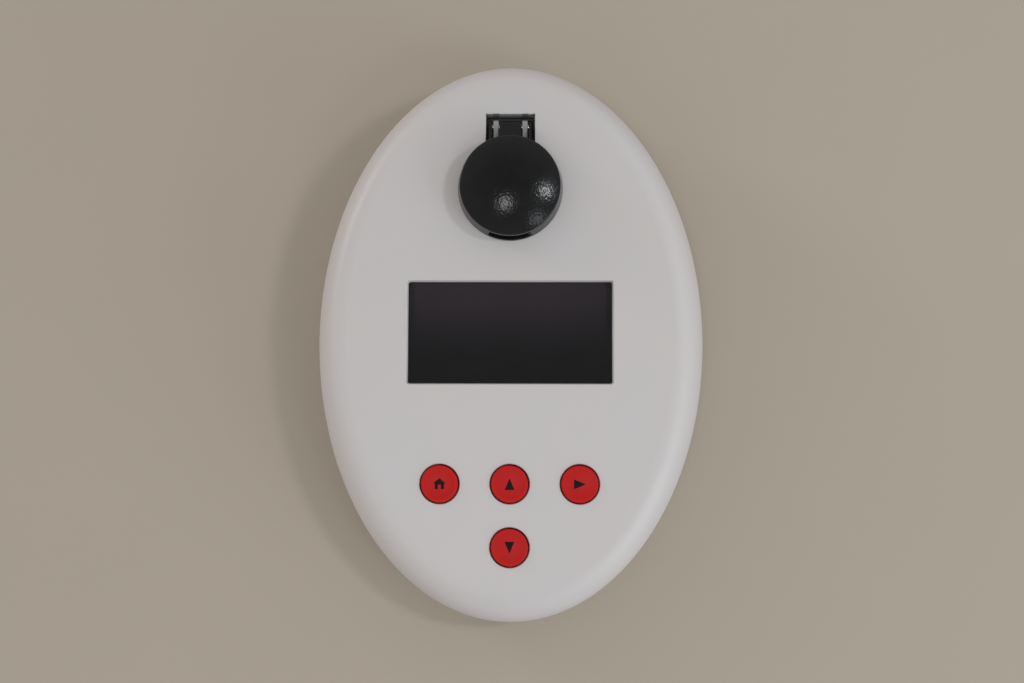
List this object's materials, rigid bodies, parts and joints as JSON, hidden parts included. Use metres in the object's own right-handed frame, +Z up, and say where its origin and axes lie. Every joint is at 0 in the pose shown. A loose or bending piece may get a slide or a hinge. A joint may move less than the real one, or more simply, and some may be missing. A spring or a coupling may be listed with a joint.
{
  "type": "benchtop fluorometer",
  "caption": "Oval benchtop fluorometer with a sloping face, display, round push keys and a hinged round lid over a sample tube well.",
  "frame": {"origin": "on the table under the middle of the oval case", "axes": "+Y to the back where the lid's hinge is, +X to the right seen from the keys, +Z up"},
  "size_m": [0.145, 0.21, 0.0559],
  "materials": {
    "case_plastic": "fine moulded texture, warm white",
    "foot_rubber": "matte",
    "screw_steel": "plain steel",
    "window_clear": "polished smoked window",
    "gasket_rubber": "matte foam",
    "frame_metal": "pressed sheet",
    "display_glass": "dark when off",
    "light_guide": "milky sheet",
    "circuit_board": "solder mask",
    "ribbon_film": "amber film",
    "key_red": "satin moulded",
    "switch_black": "moulded",
    "well_black": "moulded, light tight",
    "block_black": "black anodised look",
    "lamp_blue": "tinted resin",
    "lamp_red": "tinted resin",
    "filter_blue": "coated filter",
    "filter_amber": "coated filter",
    "detector_metal": "plated can",
    "lid_black": "satin moulded, fine grain",
    "liner_black": "matte, light tight",
    "seal_rubber": "soft",
    "pin_steel": "ground",
    "chip_black": "moulded",
    "capacitor_metal": "sleeved can",
    "socket_cream": "moulded",
    "socket_metal": "plated shell",
    "jack_black": "moulded",
    "lead_red": "insulation",
    "lead_blue": "insulation"
  },
  "bodies": {
    "instrument": {"top_housing": "case_plastic", "bottom_housing": "case_plastic", "rubber_feet": "foot_rubber", "case_screws": "screw_steel", "display_window": "window_clear", "window_gasket": "gasket_rubber", "display_frame": "frame_metal", "display_glass": "display_glass", "backlight": "light_guide", "display_board": "circuit_board", "display_screws": "screw_steel", "display_ribbon": "ribbon_film", "switch_bodies": "switch_black", "keypad_board": "circuit_board", "keypad_screws": "screw_steel", "keypad_ribbon": "ribbon_film", "tube_well": "well_black", "optics_block": "block_black", "optics_screws": "screw_steel", "blue_lamp": "lamp_blue", "red_lamp": "lamp_red", "excitation_filters": "filter_blue", "emission_filters": "filter_amber", "photodiodes": "detector_metal", "lamp_boards": "circuit_board", "detector_boards": "circuit_board", "optics_flex": "ribbon_film", "hinge_pin": "pin_steel", "main_board": "circuit_board", "processor": "chip_black", "memory_chips": "chip_black", "capacitors": "capacitor_metal", "ribbon_sockets": "socket_cream", "lead_sockets": "socket_cream", "main_screws": "screw_steel", "rear_board": "circuit_board", "usb_socket": "socket_metal", "power_jack": "jack_black", "rear_board_screws": "screw_steel", "power_leads": "lead_red", "data_leads": "lead_blue"},
    "lid": {"lid_shell": "lid_black", "lid_liner": "liner_black", "lid_seal": "seal_rubber"},
    "home_button": {"home_key": "key_red", "home_plunger": "switch_black"},
    "up_button": {"up_key": "key_red", "up_plunger": "switch_black"},
    "go_button": {"go_key": "key_red", "go_plunger": "switch_black"},
    "down_button": {"down_key": "key_red", "down_plunger": "switch_black"}
  },
  "joints": [
    {"name": "lid_hinge", "type": "hinge", "parent": "instrument", "child": "lid", "pos_m": [0, 0.07546, 0.04306], "axis": [-1, 0, 0], "range_deg": [0, 100]},
    {"name": "home_press", "type": "slide", "parent": "instrument", "child": "home_button", "axis": [0, 0.0958, -0.9954], "range_m": [0, 0.0006], "stiffness_N_per_m": 300, "springref_m": -0.003},
    {"name": "up_press", "type": "slide", "parent": "instrument", "child": "up_button", "axis": [0, 0.0958, -0.9954], "range_m": [0, 0.0006], "stiffness_N_per_m": 300, "springref_m": -0.003},
    {"name": "go_press", "type": "slide", "parent": "instrument", "child": "go_button", "axis": [0, 0.0958, -0.9954], "range_m": [0, 0.0006], "stiffness_N_per_m": 300, "springref_m": -0.003},
    {"name": "down_press", "type": "slide", "parent": "instrument", "child": "down_button", "axis": [0, 0.0958, -0.9954], "range_m": [0, 0.0006], "stiffness_N_per_m": 300, "springref_m": -0.003}
  ]
}
